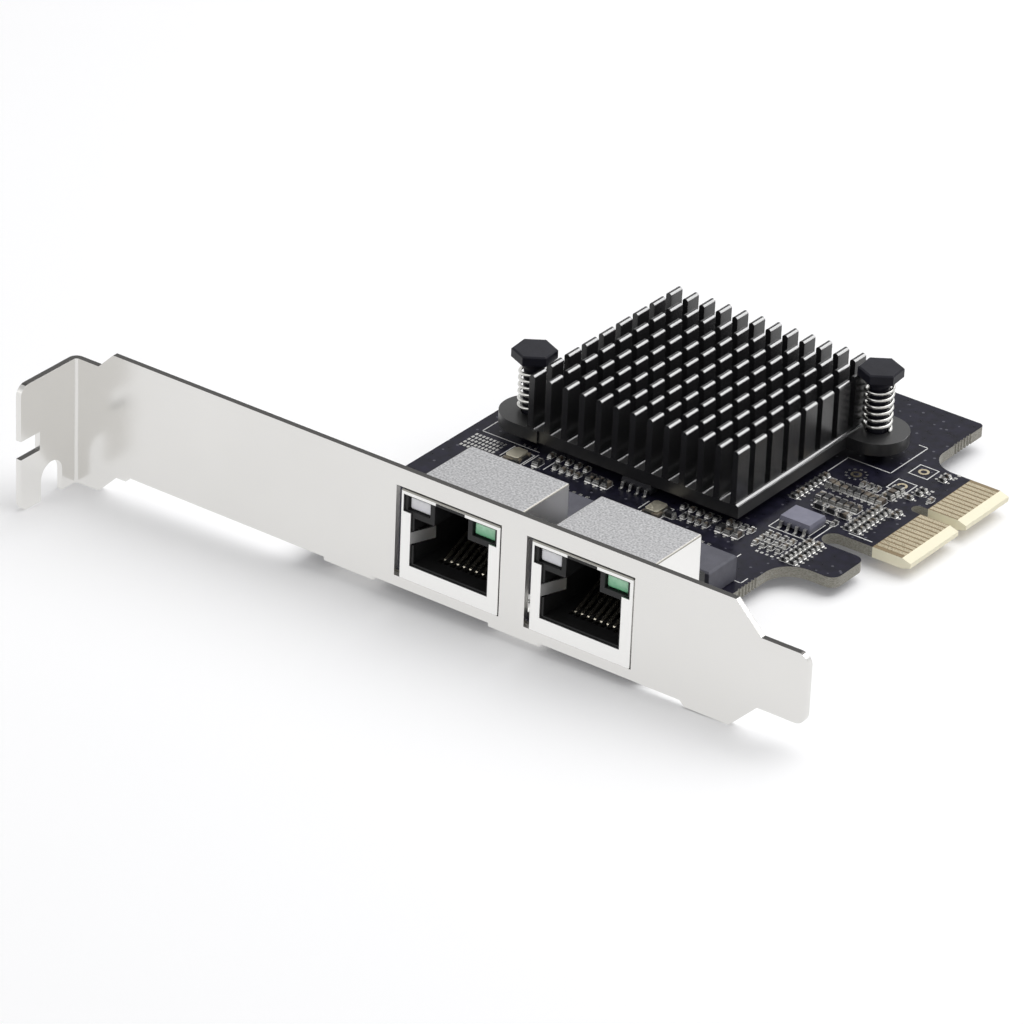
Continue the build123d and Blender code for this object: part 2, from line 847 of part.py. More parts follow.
with BuildPart() as transformer_pins:
    for middle in transformer_middles:
        for hand in (-1, 1):
            wall_y = transformer_y + hand * transformer_length / 2
            foot_y = wall_y + hand * lead_reach
            for lead in range(transformer_lead_count):
                lead_x = middle + (lead - (transformer_lead_count - 1) / 2) * lead_pitch
                with BuildSketch(Plane.YZ.offset(lead_x - lead_width / 2)):
                    with BuildLine():
                        Polyline(
                            (wall_y, board_top + chip_body),
                            (wall_y + hand * lead_thickness, board_top + chip_body),
                            (wall_y + hand * lead_thickness, board_top + lead_thickness),
                            (foot_y, board_top + lead_thickness),
                            (foot_y, board_top),
                            (wall_y, board_top),
                            close=True,
                        )
                    make_face()
                extrude(amount=lead_width)
transformer_pins.part.label = "transformer_leads"
export_step(transformer_pins.part, "parts/transformer_leads.step")

# Crystals: a ceramic base under a metal lid
with BuildPart() as crystal_bases:
    with BuildSketch(Plane.XY.offset(board_top)):
        with Locations(*crystal_places):
            Rectangle(crystal_width, crystal_length)
    extrude(amount=crystal_base)
crystal_bases.part.label = "crystal_bases"
export_step(crystal_bases.part, "parts/crystal_bases.step")

with BuildPart() as crystal_lids:
    with BuildSketch(Plane.XY.offset(board_top + crystal_base)):
        with Locations(*crystal_places):
            Rectangle(crystal_width - crystal_lid, crystal_length - crystal_lid)
    extrude(amount=crystal_lid)
    chamfer(crystal_lids.edges().filter_by(Axis.Z), crystal_lid)
crystal_lids.part.label = "crystal_lids"
export_step(crystal_lids.part, "parts/crystal_lids.step")


def row(first_x, first_y, step_x, step_y, count):
    """Places in a straight row."""
    return [(first_x + number * step_x, first_y + number * step_y) for number in range(count)]


# Rows of chip capacitors and resistors, by the way they lie
small_along_y = (
    row(52.0, 44.4, 1.5, 0, 5)
    + row(54.4, 42.2, 1.2, 0, 4)
    + row(74.0, 44.5, 1.33, 0, 5)
    + row(75.6, 42.2, 1.2, 0, 4)
    + row(81.2, 44.9, 1.15, 0, 4)
    + row(86.9, 42.7, 1.25, 0, 4)
    + row(86.9, 44.2, 1.25, 0, 4)
    + row(86.9, 45.7, 1.25, 0, 4)
    + row(89.0, 65.3, 1.1, 0, 3)
    + row(46.0, 80.6, 1.4, 0, 4)
    + [(92.1, 53.6), (98.5, 67.4)]
)
small_along_x = (
    row(92.4, 41.2, 0, 1.05, 7)
    + row(93.8, 41.2, 0, 1.05, 7)
    + row(94.2, 53.7, 0, 1.05, 8)
    + row(95.6, 53.7, 0, 1.05, 8)
    + row(83.7, 56.4, 0, 1.1, 8)
    + row(97.0, 60.6, 0, 1.1, 2)
    + row(96.2, 67.9, 0, 1.2, 2)
    + row(96.6, 73.2, 0, 1.25, 2)
    + row(41.6, 54.5, 0, 1.3, 4)
    + [(95.8, 66.2)]
)
large_along_y = (
    row(60.0, 42.5, 1.3, 0, 3)
    + row(81.3, 42.6, 1.35, 0, 3)
    + row(86.6, 58.6, 1.15, 0, 6)
    + row(85.7, 62.5, 1.15, 0, 8)
    + [(51.9, 41.4)]
)
large_along_x = row(88.0, 56.2, 2.0, 0, 3) + row(93.6, 64.4, 0, 1.2, 3) + [(73.9, 41.2)]


def chip_rows():
    """Each row of passives with its body size and whether its length lies along X."""
    return (
        (small_along_y, small_length, small_width, small_height, False),
        (small_along_x, small_length, small_width, small_height, True),
        (large_along_y, large_length, large_width, large_height, False),
        (large_along_x, large_length, large_width, large_height, True),
    )


with BuildPart() as passive_bodies:
    for places, length, width, height, along_x in chip_rows():
        with BuildSketch(Plane.XY.offset(board_top)):
            with Locations(*places):
                if along_x:
                    Rectangle(length - 2 * terminal, width)
                else:
                    Rectangle(width, length - 2 * terminal)
        extrude(amount=height)
passive_bodies.part.label = "passive_bodies"
export_step(passive_bodies.part, "parts/passive_bodies.step")

with BuildPart() as passive_terminals:
    for places, length, width, height, along_x in chip_rows():
        shift = (length - terminal) / 2
        with BuildSketch(Plane.XY.offset(board_top)):
            for hand in (-1, 1):
                for x, y in places:
                    if along_x:
                        with Locations((x + hand * shift, y)):
                            Rectangle(terminal, width)
                    else:
                        with Locations((x, y + hand * shift)):
                            Rectangle(width, terminal)
        extrude(amount=height)
passive_terminals.part.label = "passive_terminals"
export_step(passive_terminals.part, "parts/passive_terminals.step")

# Gold plated test holes, as rings on the board
with BuildPart() as plated_rings:
    with BuildSketch(Plane.XY.offset(board_top)):
        with Locations(*via_places):
            Circle(via_radius + via_ring)
            Circle(via_radius, mode=Mode.SUBTRACT)
    extrude(amount=plating)
plated_rings.part.label = "plated_rings"
export_step(plated_rings.part, "parts/plated_rings.step")
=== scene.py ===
import json
import math

import bmesh
import bpy
from mathutils import Matrix, Vector


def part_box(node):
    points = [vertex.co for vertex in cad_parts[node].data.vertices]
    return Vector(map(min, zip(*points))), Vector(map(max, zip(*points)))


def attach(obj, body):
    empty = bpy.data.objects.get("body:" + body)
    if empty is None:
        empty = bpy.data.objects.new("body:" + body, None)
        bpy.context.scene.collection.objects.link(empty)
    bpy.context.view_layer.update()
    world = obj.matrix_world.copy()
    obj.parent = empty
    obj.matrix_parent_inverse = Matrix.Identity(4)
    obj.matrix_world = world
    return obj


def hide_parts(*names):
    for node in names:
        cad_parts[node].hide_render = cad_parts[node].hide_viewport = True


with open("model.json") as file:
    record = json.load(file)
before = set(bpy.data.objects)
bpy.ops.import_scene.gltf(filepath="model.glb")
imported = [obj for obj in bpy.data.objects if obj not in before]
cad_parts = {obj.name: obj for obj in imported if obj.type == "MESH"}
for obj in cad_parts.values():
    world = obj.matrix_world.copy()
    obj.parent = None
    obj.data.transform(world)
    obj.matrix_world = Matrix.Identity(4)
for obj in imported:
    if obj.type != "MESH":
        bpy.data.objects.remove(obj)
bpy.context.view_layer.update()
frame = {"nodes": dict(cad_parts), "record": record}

MM = 0.001

# Camera found from the photograph, in millimetres and degrees
CAMERA_PLACE = (475.254, -562.243, 404.061)
CAMERA_TARGET = (59.4825, 25.1, 4.742)
CAMERA_ROLL = 2.397
CAMERA_LENS = 217.82

# The card leans on its flange, its bracket's far corner and one push pin
REST_POINTS = ((0, 5.96, -3.15), (108.6, 5.96, 0.0), (84.85, 74.45, -1.34))

# Where the mask ends on the edge connector, beyond the hook
BARE_X = 99.4
BARE_Y = 51.0

# Behind this the bracket has only its feet, whose level faces get no painted shade
FEET_Y = 6.0

# Printed lines on the board: width, height, and each line's two ends
INK_WIDTH = 0.16
INK_HEIGHT = 0.012
INK_LINES = (
    (83.0, 70.5, 90.0, 70.5),
    (90.0, 70.5, 90.0, 79.8),
    (88.6, 79.8, 90.0, 79.8),
    (83.1, 65.5, 83.1, 70.5),
    (40.4, 44.3, 50.0, 44.3),
    (40.4, 44.3, 40.4, 53.5),
    (91.3, 48.7, 91.3, 52.6),
    (86.4, 53.4, 91.3, 53.4),
    (87.1, 32.0, 87.1, 38.8),
    (90.2, 32.5, 91.5, 32.5),
    (91.5, 32.5, 91.5, 34.0),
    (46.4, 40.2, 46.4, 43.6),
    (50.4, 40.2, 50.4, 43.6),
    (53.3, 40.8, 53.3, 43.4),
    (69.4, 40.4, 69.4, 42.8),
    (74.9, 42.0, 74.9, 43.6),
    (95.0, 52.9, 98.6, 52.9),
)

# Printed frames: two opposite corners of each
INK_FRAMES = (
    (91.7, 66.9, 94.7, 69.9),
    (91.8, 72.2, 94.8, 75.2),
    (85.6, 47.6, 92.2, 53.9),
    (46.9, 39.3, 50.1, 43.1),
    (70.1, 39.3, 73.3, 43.1),
)

# The printed lines beside each chip capacitor and resistor
PART_INK_WIDTH = 0.1
PART_INK_SIDE = 0.12

# Dots round the large plated hole
DOT_RING = (86.6, 67.2)
DOT_RING_RADIUS = 1.45
DOT_COUNT = 11
DOT_SIZE = 0.34

# Bare pads in rows: first place, step, count, and size
PAD_HEIGHT = 0.02
PAD_ROWS = (
    ((40.4, 39.4), (0.6, 0), 9, (0.36, 0.56)),
    ((40.4, 40.3), (0.6, 0), 9, (0.36, 0.56)),
    ((40.4, 41.2), (0.6, 0), 9, (0.36, 0.56)),
    ((40.4, 42.1), (0.6, 0), 9, (0.36, 0.56)),
    ((40.4, 43.0), (0.6, 0), 9, (0.36, 0.56)),
    ((47.2, 44.9), (0.9, 0), 3, (0.4, 0.4)),
    ((97.2, 68.0), (0, 0.9), 3, (0.5, 0.4)),
    ((97.6, 75.0), (0, 0.9), 2, (0.5, 0.4)),
    ((88.2, 41.0), (0.8, 0), 4, (0.4, 0.4)),
    ((58.0, 38.3), (1.1, 0), 5, (0.5, 0.5)),
    ((79.0, 38.3), (1.1, 0), 4, (0.5, 0.5)),
)

# Small vias beyond the terminals
VIA_REACH = 0.46
VIA_RADIUS = 0.2
VIA_CLEAR = 0.08
VIA_SIDES = 8

# Solder on the terminals, in millimetres
SOLDER_REACH = 0.18
SOLDER_SIDE = 0.06
SOLDER_RISE = 0.7

# Solder cones under the board: radius at each depth
CONE_STEPS = ((0.78, 0.0), (0.74, 0.08), (0.5, 0.3), (0.37, 0.62), (0.31, 0.9), (0.12, 1.0))
CONE_SIDES = 20

# Coil springs under the push pins' heads
SPRING_WIRE = 0.25
SPRING_TURNS = 6.5
SPRING_STEPS = 40
SPRING_SIDES = 14

# Corners of a CAD node that are closer than this are one, in metres
SAME_CORNER = 1e-7

# The board's finest vias: cells to the metre, and a via's radius as a share of its cell
SPECK_CELLS = 620
SPECK_RADIUS = 0.13

# The chip parts' colours: cells to the metre, and the share of parts that are tan
PART_CELLS = 900
TAN_SHARE = 0.42

# The middle range of a noise, in which most of its values lie
NOISE_LOW = 0.3
NOISE_HIGH = 0.7

# A face that looks up or down by more than this, from 0 to 1, is a fold, a sheet's cut edge, or level
FOLDED = 0.12
CUT_EDGE = 0.93
LEVEL = 0.97

# How far the heat sink's duller finish goes up past its base
BASE_FINISH = 0.1

# Lamps: the way to each from the card, its distance, size and power
BACK_KEY = ((0.3, 0.6, 1.2), 600, 700, 3.5)
FRONT_FILL = ((-0.3, -0.8, 0.6), 800, 600, 0.7)
EDGE_STRIP = ((0.48, 0.71, 0.5), 600, 700, 15.0)

# The floor's reach from its middle, in metres
FLOOR_REACH = 3.0

# Light levels, where 1 is white, and how much of the floor's even level reflections take
FLOOR_GLOW = 0.13
FLOOR_REFLECTED = 1.0
REFLECTED_SHARE = 0.75
WORLD_LIGHT = 0.42
CEILING_GLOW = 0.62

# How far up a reflection looks, from 0 to 1, at the end of the horizon and the start of the ceiling
HORIZON_END = 0.1
CEILING_START = 0.5


def node_box(name):
    """A CAD node's lowest and highest corner, in millimetres."""
    low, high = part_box(name)
    return low / MM, high / MM


BOARD_LOW, BOARD_HIGH = node_box("circuit_board")
BOARD_TOP = BOARD_HIGH.z
BOARD_BOTTOM = BOARD_LOW.z


def new_material(name, colour, metallic, roughness):
    """A material with its plain values set on the shader."""
    made = bpy.data.materials.new(name)
    made.use_nodes = True
    shader = made.node_tree.nodes["Principled BSDF"]
    shader.inputs["Base Color"].default_value = (*colour, 1)
    shader.inputs["Metallic"].default_value = metallic
    shader.inputs["Roughness"].default_value = roughness
    return made


def shader_of(made):
    return made.node_tree.nodes["Principled BSDF"]


def add(made, kind, **values):
    """A new node in the material, with its named inputs set."""
    node = made.node_tree.nodes.new(kind)
    for key, value in values.items():
        if key in node.inputs:
            node.inputs[key].default_value = value
        else:
            setattr(node, key, value)
    return node


def link(made, source, target):
    made.node_tree.links.new(source, target)


def place(made):
    """The coordinates of the row frame, in metres."""
    return add(made, "ShaderNodeTexCoord").outputs["Object"]


def axes(made):
    """The same coordinates, one by one."""
    parts = add(made, "ShaderNodeSeparateXYZ")
    link(made, place(made), parts.inputs["Vector"])
    return parts.outputs


def noise(made, size_mm, detail=3.0, stretch=(1, 1, 1)):
    """Noise whose patches are about size_mm wide, stretched along the axes."""
    mapping = add(made, "ShaderNodeMapping")
    mapping.inputs["Scale"].default_value = [1 / (part * size_mm * MM) for part in stretch]
    link(made, place(made), mapping.inputs["Vector"])
    node = add(made, "ShaderNodeTexNoise", Scale=1.0, Detail=detail)
    link(made, mapping.outputs["Vector"], node.inputs["Vector"])
    return node.outputs["Fac"]


def vary(made, source, low, high):
    """Maps a noise's middle range onto low to high."""
    node = add(made, "ShaderNodeMapRange")
    node.inputs["From Min"].default_value = NOISE_LOW
    node.inputs["From Max"].default_value = NOISE_HIGH
    node.inputs["To Min"].default_value = low
    node.inputs["To Max"].default_value = high
    link(made, source, node.inputs["Value"])
    return node.outputs["Result"]


def mix_colours(made, factor, first, second):
    """A colour between two, each a fixed colour or a socket."""
    node = add(made, "ShaderNodeMix", data_type="RGBA")
    link(made, factor, node.inputs["Factor"])
    # Sockets 6 and 7 take the colours, and output 2 gives the mixed one
    for socket, value in ((node.inputs[6], first), (node.inputs[7], second)):
        if isinstance(value, tuple):
            socket.default_value = (*value, 1)
        else:
            link(made, value, socket)
    return node.outputs[2]


def bump(made, source, depth_mm, edge_mm=0.0):
    """Height from a grain, over edges that are softened by edge_mm."""
    node = add(made, "ShaderNodeBump", Strength=1.0, Distance=depth_mm * MM)
    link(made, source, node.inputs["Height"])
    if edge_mm:
        edge = add(made, "ShaderNodeBevel", Radius=edge_mm * MM, samples=6)
        link(made, edge.outputs["Normal"], node.inputs["Normal"])
    link(made, node.outputs["Normal"], shader_of(made).inputs["Normal"])


def grained(name, colours, metallic, rough, grain_mm, patch_mm, depth_mm, edge_mm, specular=0.5):
    """A surface whose patches vary its colour, and whose grain varies its roughness and height."""
    made = new_material(name, colours[0], metallic, rough[0])
    shader = shader_of(made)
    shader.inputs["Specular IOR Level"].default_value = specular
    grain = noise(made, grain_mm)
    patches = vary(made, noise(made, patch_mm), 0, 1)
    link(made, mix_colours(made, patches, *colours), shader.inputs["Base Color"])
    link(made, vary(made, grain, *rough), shader.inputs["Roughness"])
    bump(made, grain, depth_mm, edge_mm)
    return made


def facing_up(made):
    """How far a face looks up or down, from 0 to 1."""
    geometry = add(made, "ShaderNodeNewGeometry")
    normal = add(made, "ShaderNodeSeparateXYZ")
    link(made, geometry.outputs["Normal"], normal.inputs["Vector"])
    upright = add(made, "ShaderNodeMath", operation="ABSOLUTE")
    link(made, normal.outputs["Z"], upright.inputs[0])
    return upright.outputs["Value"]


def compute(made, source, operation, number):
    """A source and a fixed number, multiplied, or compared to give 1 or 0."""
    node = add(made, "ShaderNodeMath", operation=operation)
    node.inputs[1].default_value = number
    link(made, source, node.inputs[0])
    return node.outputs["Value"]


def times(made, first, second):
    """Two sources multiplied."""
    node = add(made, "ShaderNodeMath", operation="MULTIPLY")
    link(made, first, node.inputs[0])
    link(made, second, node.inputs[1])
    return node.outputs["Value"]


def sheet_nickel():
    """Bright smooth plating, with painted shade on the sheet's level cut edges and the end of its bend.
    """
    made = grained(
        "bright_nickel", ((0.81, 0.8, 0.78), (0.79, 0.78, 0.76)), 1.0, (0.2, 0.24), 3.0, 18, 0.0003, 0.04
    )
    shader = shader_of(made)
    plating = shader.inputs["Base Color"].links[0].from_socket
    # Painted shade: the level faces in front of the feet, which are the cut edges and the end of the
    # bend, are near black
    painted_edge_shade = (0.12, 0.117, 0.113)
    level = compute(made, facing_up(made), "GREATER_THAN", CUT_EDGE)
    cut = times(made, level, compute(made, axes(made)["Y"], "LESS_THAN", FEET_Y * MM))
    link(made, mix_colours(made, cut, plating, painted_edge_shade), shader.inputs["Base Color"])
    return made


def satin_nickel():
    """Satin plating: a mottled grain darkened by painted shade where it looks up, painted shade on its
    bends, and smooth and bright on the walls.
    """
    bright = (0.93, 0.925, 0.91)
    # Painted shade on the bends between the tops and the walls
    fold = (0.34, 0.33, 0.3)
    made = new_material("satin_nickel", bright, 1.0, 0.36)
    shader = shader_of(made)
    mottle = vary(made, noise(made, 0.3, detail=2), 0, 1)
    # The tops' real mottled grain, made darker than the walls by painted shade
    shade = mix_colours(made, mottle, (0.74, 0.74, 0.75), (0.35, 0.35, 0.36))
    upright = facing_up(made)
    up = compute(made, upright, "GREATER_THAN", LEVEL)
    folded = compute(made, upright, "GREATER_THAN", FOLDED)
    sides = mix_colours(made, folded, bright, fold)
    link(made, mix_colours(made, up, sides, shade), shader.inputs["Base Color"])
    grain = times(made, noise(made, 0.3), up)
    link(made, vary(made, grain, 0.34, 0.42), shader.inputs["Roughness"])
    bump(made, grain, 0.004, 0.03)
    return made


def anodised():
    """Black anodising: smooth on the fins, and duller on the base and its ears."""
    blacks = ((0.013, 0.013, 0.014), (0.018, 0.018, 0.019))
    made = grained("black_anodised", blacks, 0.0, (0.25, 0.27), 2.5, 9, 0.0001, 0.03, 0.65)
    shader = shader_of(made)
    fins = shader.inputs["Roughness"].links[0].from_socket
    base_top = node_box("left_pin_spring")[0].z + BASE_FINISH
    base = compute(made, axes(made)["Z"], "LESS_THAN", base_top * MM)
    rough = add(made, "ShaderNodeMix")
    link(made, base, rough.inputs["Factor"])
    link(made, fins, rough.inputs["A"])
    link(made, vary(made, noise(made, 0.3), 0.3, 0.36), rough.inputs["B"])
    link(made, rough.outputs["Result"], shader.inputs["Roughness"])
    return made


def lens(name, node, shaded_foot_colour, lit_top_colour):
    """A light's window, with painted shade at its foot and a painted highlight at its top."""
    made = new_material(name, lit_top_colour, 0.0, 0.2)
    low, high = node_box(node)
    # Painted highlight and shade: a rise from dark at the foot to light at the top, with blotches of both
    height = add(made, "ShaderNodeMapRange")
    height.inputs["From Min"].default_value = low.z * MM
    height.inputs["From Max"].default_value = high.z * MM
    link(made, axes(made)["Z"], height.inputs["Value"])
    cloud = mix_colours(made, vary(made, noise(made, 0.7), 0, 0.4), lit_top_colour, shaded_foot_colour)
    whole = mix_colours(made, height.outputs["Result"], shaded_foot_colour, cloud)
    link(made, whole, shader_of(made).inputs["Base Color"])
    bump(made, noise(made, 0.5), 0.003, 0.3)
    return made


def board_material():
    """Black mask on both faces, bluer in patches over the traces, partly as a painted reflection, with
    pale laminate on the sawn edges and round the fingers.
    """
    mask = (0.006, 0.006, 0.011)
    # Bluer patches over the copper: partly the mask's own tone, partly a painted reflection
    traces_and_painted_sheen = (0.016, 0.015, 0.03)
    specks = (0.09, 0.09, 0.11)
    laminate = (0.36, 0.35, 0.31)
    fibre = (0.2, 0.19, 0.16)
    bevel = (0.88, 0.83, 0.64)
    bare = (0.26, 0.2, 0.12)
    made = new_material("board_mask", mask, 0.0, 0.3)
    shader = shader_of(made)
    shader.inputs["Specular IOR Level"].default_value = 0.13
    spot = axes(made)
    beyond = compute(made, spot["X"], "GREATER_THAN", BARE_X * MM)
    behind = compute(made, spot["Y"], "GREATER_THAN", BARE_Y * MM)
    tongue = times(made, beyond, behind)
    copper = noise(made, 1.3, detail=6)
    masked = mix_colours(made, vary(made, copper, 0, 1), mask, traces_and_painted_sheen)
    cells = add(made, "ShaderNodeTexVoronoi", Scale=SPECK_CELLS)
    link(made, place(made), cells.inputs["Vector"])
    speck = compute(made, cells.outputs["Distance"], "LESS_THAN", SPECK_RADIUS)
    masked = mix_colours(made, speck, masked, specks)
    top = mix_colours(made, tongue, masked, bare)
    fibres = vary(made, noise(made, 0.3, stretch=(1, 1, 0.4)), 0, 1)
    sawn = mix_colours(made, fibres, laminate, fibre)
    sides = mix_colours(made, tongue, sawn, bevel)
    flat = compute(made, facing_up(made), "GREATER_THAN", LEVEL)
    whole = mix_colours(made, flat, sides, top)
    link(made, whole, shader.inputs["Base Color"])
    link(made, vary(made, copper, 0.26, 0.4), shader.inputs["Roughness"])
    bump(made, copper, 0.015, 0.05)
    return made


def part_colours():
    """Small chip parts: each cell of the board has its own tan, grey or black."""
    made = new_material("chip_part", (0.1, 0.08, 0.06), 0.0, 0.4)
    cells = add(made, "ShaderNodeTexVoronoi", Scale=PART_CELLS)
    link(made, place(made), cells.inputs["Vector"])
    pick = add(made, "ShaderNodeSeparateXYZ")
    link(made, cells.outputs["Color"], pick.inputs["Vector"])
    tan = mix_colours(made, pick.outputs["X"], (0.09, 0.07, 0.055), (0.22, 0.19, 0.15))
    black = compute(made, pick.outputs["Y"], "GREATER_THAN", TAN_SHARE)
    whole = mix_colours(made, black, tan, (0.02, 0.02, 0.022))
    link(made, whole, shader_of(made).inputs["Base Color"])
    bump(made, noise(made, 0.15), 0.004, 0.06)
    return made


# A grained finish: name, two colours, metallic, roughness, then grain, patches, depth and edge in
# millimetres, and at times its specular level
MATERIALS = {
    "nickel_plated_sheet": sheet_nickel(),
    "bright_steel": grained(
        "zinc_steel", ((0.6, 0.6, 0.6), (0.5, 0.5, 0.5)), 1.0, (0.25, 0.35), 0.2, 2.4, 0.002, 0.1
    ),
    "satin_nickel": satin_nickel(),
    "spring_steel": grained(
        "spring_wire", ((0.78, 0.77, 0.74), (0.6, 0.6, 0.58)), 1.0, (0.12, 0.2), 0.2, 2.4, 0.001, 0.0
    ),
    "board_laminate": board_material(),
    "gold_plating": grained(
        "gold", ((0.7, 0.61, 0.44), (0.62, 0.54, 0.38)), 1.0, (0.24, 0.36), 0.2, 1.5, 0.001, 0.0
    ),
    "tinned_leads": grained(
        "bright_tin", ((0.76, 0.75, 0.73), (0.52, 0.52, 0.5)), 1.0, (0.24, 0.36), 0.2, 0.8, 0.006, 0.04
    ),
    "moulded_resin": grained(
        "resin", ((0.064, 0.064, 0.082), (0.085, 0.085, 0.107)), 0.0, (0.42, 0.56), 0.12, 1.4, 0.006, 0.12
    ),
    "soft_pad": grained(
        "pad", ((0.2, 0.22, 0.25), (0.17, 0.19, 0.22)), 0.0, (0.65, 0.75), 0.2, 2.4, 0.01, 0.1
    ),
    "black_anodised": anodised(),
    "ceramic": part_colours(),
    "socket_plastic": grained(
        "socket_plastic", ((0.014, 0.014, 0.014), (0.02, 0.02, 0.021)), 0.0, (0.36, 0.46), 0.15, 2, 0.004,
        0.14, 0.3
    ),
    "clear_light": lens("clear_lens", "left_port_clear_light", (0.76, 0.76, 0.8), (0.97, 0.97, 0.98)),
    "green_light": lens("green_lens", "left_port_green_light", (0.1, 0.42, 0.2), (0.62, 0.95, 0.7)),
    "pin_plastic": grained(
        "pin_plastic", ((0.01, 0.01, 0.015), (0.015, 0.015, 0.022)), 0.0, (0.3, 0.4), 0.3, 3, 0.002, 0.1,
        0.17
    ),
}

CONTACT_WIRE = grained(
    "contact_wire", ((0.88, 0.82, 0.68), (0.78, 0.72, 0.58)), 1.0, (0.24, 0.32), 3.0, 6, 0.0001, 0.0
)

# Nodes whose finish differs a little from the rest of their slot
NODE_MATERIALS = {
    "crystal_lids": grained(
        "crystal_lid", ((0.88, 0.83, 0.68), (0.8, 0.75, 0.6)), 1.0, (0.34, 0.4), 0.5, 3, 0.001, 0.08
    ),
    "left_port_contacts": CONTACT_WIRE,
    "right_port_contacts": CONTACT_WIRE,
    "memory_chip": grained(
        "dark_resin", ((0.022, 0.022, 0.026), (0.03, 0.03, 0.036)), 0.0, (0.4, 0.5), 0.12, 1.4, 0.004, 0.1
    ),
    "power_chip": grained(
        "chip_resin", ((0.21, 0.21, 0.27), (0.17, 0.17, 0.225)), 0.0, (0.34, 0.46), 0.12, 1.4, 0.004, 0.1
    ),
}

INK = grained("ink", ((0.8, 0.8, 0.78), (0.62, 0.62, 0.62)), 0.0, (0.55, 0.7), 0.1, 0.5, 0.004, 0.0)


def dress_frame():
    """Gives each CAD node its material, in place of its plain one."""
    for part in frame["record"]["subparts"]:
        thing = frame["nodes"][part["node"]]
        thing.data.materials.clear()
        finish = NODE_MATERIALS.get(part["node"], MATERIALS[part["material_slot"]])
        thing.data.materials.append(finish)


def add_piece(name, shape, material, smooth=False):
    """Puts a bmesh made in millimetres into the scene as a piece that rides on the card."""
    bmesh.ops.scale(shape, vec=(MM, MM, MM), verts=shape.verts)
    bmesh.ops.recalc_face_normals(shape, faces=shape.faces)
    for face in shape.faces:
        face.smooth = smooth
    mesh = bpy.data.meshes.new(name)
    shape.to_mesh(mesh)
    shape.free()
    thing = bpy.data.objects.new(name, mesh)
    bpy.context.scene.collection.objects.link(thing)
    mesh.materials.append(material)
    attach(thing, "root")
    return thing


def add_solid(shape, rings):
    """A closed solid over a row of rings that have the same number of points."""
    loops = [[shape.verts.new(point) for point in ring] for ring in rings]
    shape.faces.new(loops[0])
    shape.faces.new(loops[-1])
    for lower, upper in zip(loops, loops[1:]):
        for number in range(len(lower)):
            after = (number + 1) % len(lower)
            shape.faces.new((lower[number], lower[after], upper[after], upper[number]))


def level_ring(x, y, z, radius, sides):
    """Points round a level circle."""
    turns = [math.tau * number / sides for number in range(sides)]
    return [(x + radius * math.cos(turn), y + radius * math.sin(turn), z) for turn in turns]


def add_slab(shape, x0, y0, x1, y1, z0, z1):
    """A flat box from one corner to the other."""
    outline = ((x0, y0), (x1, y0), (x1, y1), (x0, y1))
    add_solid(shape, [[(x, y, z) for x, y in outline] for z in (z0, z1)])


def islands(name, below=None):
    """Lowest and highest corner of each loose solid of a CAD node, in millimetres."""
    shape = bmesh.new()
    shape.from_mesh(frame["nodes"][name].data)
    bmesh.ops.remove_doubles(shape, verts=shape.verts, dist=SAME_CORNER)
    shape.verts.ensure_lookup_table()
    seen = [False] * len(shape.verts)
    boxes = []
    for first in shape.verts:
        if seen[first.index]:
            continue
        seen[first.index] = True
        stack = [first]
        points = []
        while stack:
            vertex = stack.pop()
            points.append(vertex.co / MM)
            for edge in vertex.link_edges:
                other = edge.other_vert(vertex)
                if not seen[other.index]:
                    seen[other.index] = True
                    stack.append(other)
        if below is not None:
            points = [point for point in points if point.z < below]
        low = Vector([min(point[axis] for point in points) for axis in range(3)])
        high = Vector([max(point[axis] for point in points) for axis in range(3)])
        boxes.append((low, high))
    shape.free()
    return boxes


def add_line(shape, x0, y0, x1, y1, width):
    """A printed line along X or Y, with its ends squared."""
    half = width / 2
    add_slab(shape, x0 - half, y0 - half, x1 + half, y1 + half, BOARD_TOP, BOARD_TOP + INK_HEIGHT)


def add_frame(shape, x0, y0, x1, y1, width):
    """Four printed lines whose ends meet without crossing."""
    add_line(shape, x0, y0, x1, y0, width)
    add_line(shape, x0, y1, x1, y1, width)
    add_line(shape, x0, y0 + width, x0, y1 - width, width)
    add_line(shape, x1, y0 + width, x1, y1 - width, width)


def make_ink():
    """Printed lines and frames on the board's top."""
    shape = bmesh.new()
    for line in INK_LINES:
        add_line(shape, *line, INK_WIDTH)
    for corners in INK_FRAMES:
        add_frame(shape, *corners, INK_WIDTH)
    add_piece("printed_lines", shape, INK)


def chip_parts():
    """The box of each chip part, and each terminal's box with its part's middle."""
    parts = islands("passive_bodies")
    middles = [(low + high) / 2 for low, high in parts]
    ends = []
    for low, high in islands("passive_terminals"):
        middle = (low + high) / 2
        nearest = min(range(len(parts)), key=lambda number: (middles[number] - middle).length)
        ends.append((low, high, middles[nearest]))
        part_low, part_high = parts[nearest]
        lowest = Vector([min(pair) for pair in zip(low, part_low)])
        highest = Vector([max(pair) for pair in zip(high, part_high)])
        parts[nearest] = (lowest, highest)
    return parts, ends


def make_part_ink(parts):
    """A printed line along both sides of each chip part."""
    shape = bmesh.new()
    for low, high in parts:
        size = high - low
        if size.x > size.y:
            for y in (low.y - PART_INK_SIDE, high.y + PART_INK_SIDE):
                add_line(shape, low.x, y, high.x, y, PART_INK_WIDTH)
        else:
            for x in (low.x - PART_INK_SIDE, high.x + PART_INK_SIDE):
                add_line(shape, x, low.y, x, high.y, PART_INK_WIDTH)
    add_piece("part_lines", shape, INK)


def add_pad(shape, x, y, width, length):
    """A flat pad on the board, round its middle."""
    side = width / 2
    end = length / 2
    add_slab(shape, x - side, y - end, x + side, y + end, BOARD_TOP, BOARD_TOP + PAD_HEIGHT)


